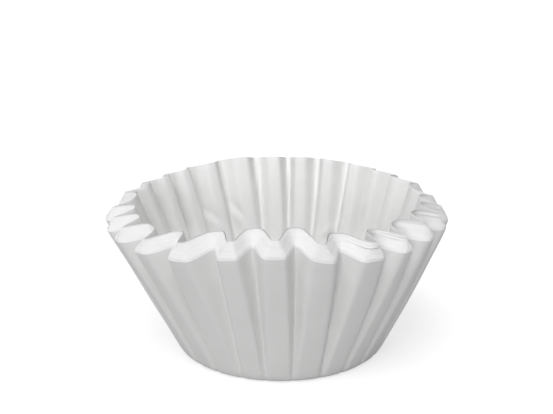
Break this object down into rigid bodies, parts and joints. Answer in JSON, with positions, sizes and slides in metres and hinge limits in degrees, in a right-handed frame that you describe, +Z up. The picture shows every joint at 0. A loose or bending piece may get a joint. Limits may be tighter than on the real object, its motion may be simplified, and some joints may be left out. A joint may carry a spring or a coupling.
{
  "type": "stack of paper coffee filters",
  "caption": "Stack of white paper basket coffee filters nested in one another: flat round base, fluted wall that opens towards the rim, and a band of sheet edges round the top.",
  "frame": {"origin": "centre of the base's underside, on the surface that the stack stands on", "axes": "+Z up along the cup's axis, from the base to the open rim; an outward fold lies on -Y, the side that the picture shows in front"},
  "size_m": [0.1342, 0.1348, 0.0619],
  "materials": {
    "filter_paper": "matte"
  },
  "bodies": {
    "root": {"filter_stack": "filter_paper"}
  },
  "joints": []
}
